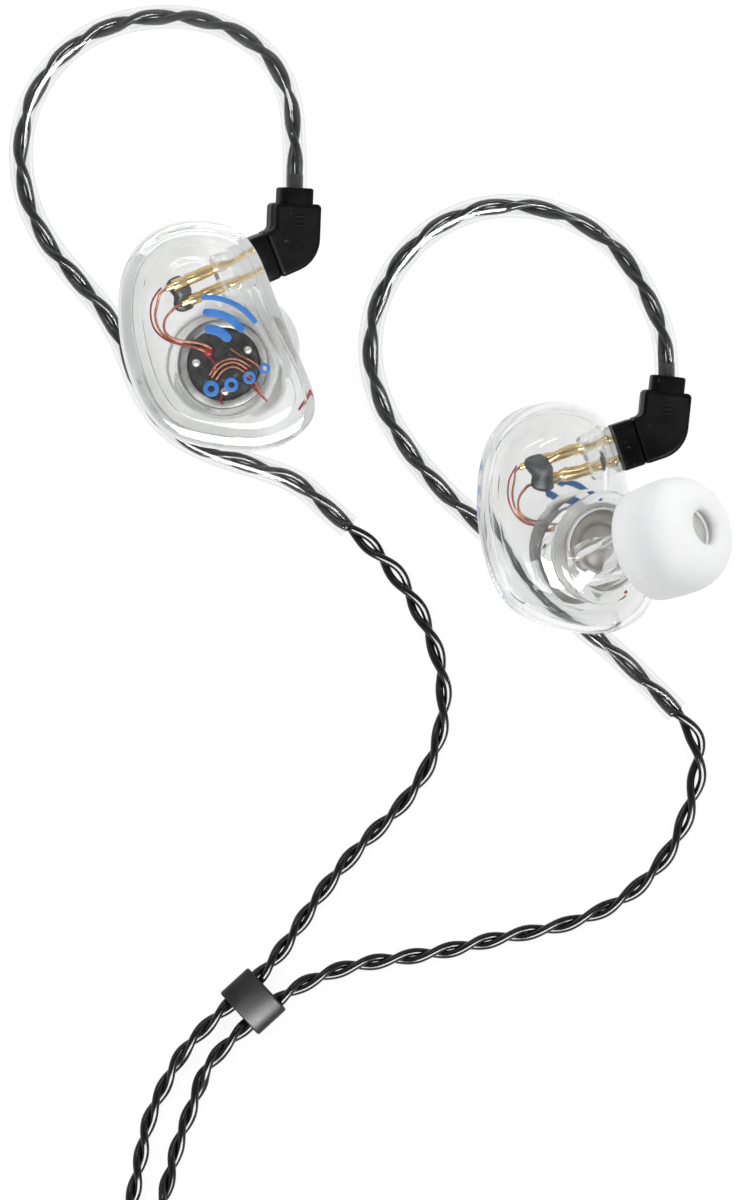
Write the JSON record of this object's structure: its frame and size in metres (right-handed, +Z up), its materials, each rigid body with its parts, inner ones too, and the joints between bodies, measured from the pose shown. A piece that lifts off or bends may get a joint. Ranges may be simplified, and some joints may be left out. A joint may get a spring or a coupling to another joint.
{
  "type": "in-ear monitors",
  "caption": "Pair of clear-shell in-ear monitors with silicone tips, on a detachable two-pin twisted cable with ear hooks, chin slider and 3.5 mm plug.",
  "frame": {"origin": "on the table, under the middle of the two monitors and their ear hooks", "axes": "+Z up from the table, +Y from the put-away cable towards the monitors, +X from the left monitor towards the right one"},
  "size_m": [0.0721, 0.1543, 0.0267],
  "materials": {
    "clear_resin": "clear polished resin",
    "driver_steel": "satin metal",
    "driver_board": "dark satin",
    "solder": "bright",
    "diaphragm_film": "thin film",
    "gold_plating": "gold plated",
    "dark_epoxy": "glossy",
    "enamelled_copper": "enamelled",
    "screen_steel": "woven",
    "white_silicone": "satin silicone",
    "black_moulding": "satin",
    "clear_tubing": "clear tube",
    "tubed_jacket": "glossy",
    "black_jacket": "glossy",
    "matte_bead": "matte",
    "silicone_band": "satin",
    "black_insulator": "satin"
  },
  "bodies": {
    "cable": {"left_plug_base": "black_moulding", "left_plug_elbow": "black_moulding", "left_plug_pins": "gold_plating", "left_hook_tube": "clear_tubing", "left_hook_cable": "tubed_jacket", "left_lead": "black_jacket", "left_lead_coil": "black_jacket", "right_plug_base": "black_moulding", "right_plug_elbow": "black_moulding", "right_plug_pins": "gold_plating", "right_hook_tube": "clear_tubing", "right_hook_cable": "tubed_jacket", "right_lead": "black_jacket", "right_lead_coil": "black_jacket", "lead_tie": "silicone_band", "y_splitter": "black_moulding", "main_lead": "black_jacket", "main_coil": "black_jacket", "main_tie": "silicone_band", "jack_relief": "black_moulding", "jack_barrel": "matte_bead", "jack_sleeve": "gold_plating", "jack_ring": "gold_plating", "jack_insulators": "black_insulator", "jack_tip": "gold_plating"},
    "left_monitor": {"left_shell": "clear_resin", "left_faceplate": "clear_resin", "left_driver_can": "driver_steel", "left_driver_magnet": "driver_steel", "left_driver_board": "driver_board", "left_driver_pads": "solder", "left_driver_diaphragm": "diaphragm_film", "left_sockets": "gold_plating", "left_socket_glue": "dark_epoxy", "left_wires": "enamelled_copper", "left_nozzle_screen": "screen_steel"},
    "left_tip": {"left_ear_tip": "white_silicone"},
    "right_monitor": {"right_shell": "clear_resin", "right_faceplate": "clear_resin", "right_driver_can": "driver_steel", "right_driver_magnet": "driver_steel", "right_driver_board": "driver_board", "right_driver_pads": "solder", "right_driver_diaphragm": "diaphragm_film", "right_sockets": "gold_plating", "right_socket_glue": "dark_epoxy", "right_wires": "enamelled_copper", "right_nozzle_screen": "screen_steel"},
    "right_tip": {"right_ear_tip": "white_silicone"},
    "slider": {"chin_slider": "matte_bead"}
  },
  "joints": [
    {"name": "left_unplug", "type": "slide", "parent": "cable", "child": "left_monitor", "axis": [-0.8681, -0.3802, 0.3192], "range_m": [0, 0.0052]},
    {"name": "left_tip_pull", "type": "slide", "parent": "left_monitor", "child": "left_tip", "axis": [0.2952, 0.3004, -0.907], "range_m": [0, 0.006]},
    {"name": "right_unplug", "type": "slide", "parent": "cable", "child": "right_monitor", "axis": [-0.9343, -0.3158, 0.1655], "range_m": [0, 0.0052]},
    {"name": "right_tip_pull", "type": "slide", "parent": "right_monitor", "child": "right_tip", "axis": [0.7339, 0.2498, 0.6317], "range_m": [0, 0.006]},
    {"name": "slider_slide", "type": "slide", "parent": "cable", "child": "slider", "axis": [-0.7373, -0.6756, 0], "range_m": [0, 0.004]}
  ]
}
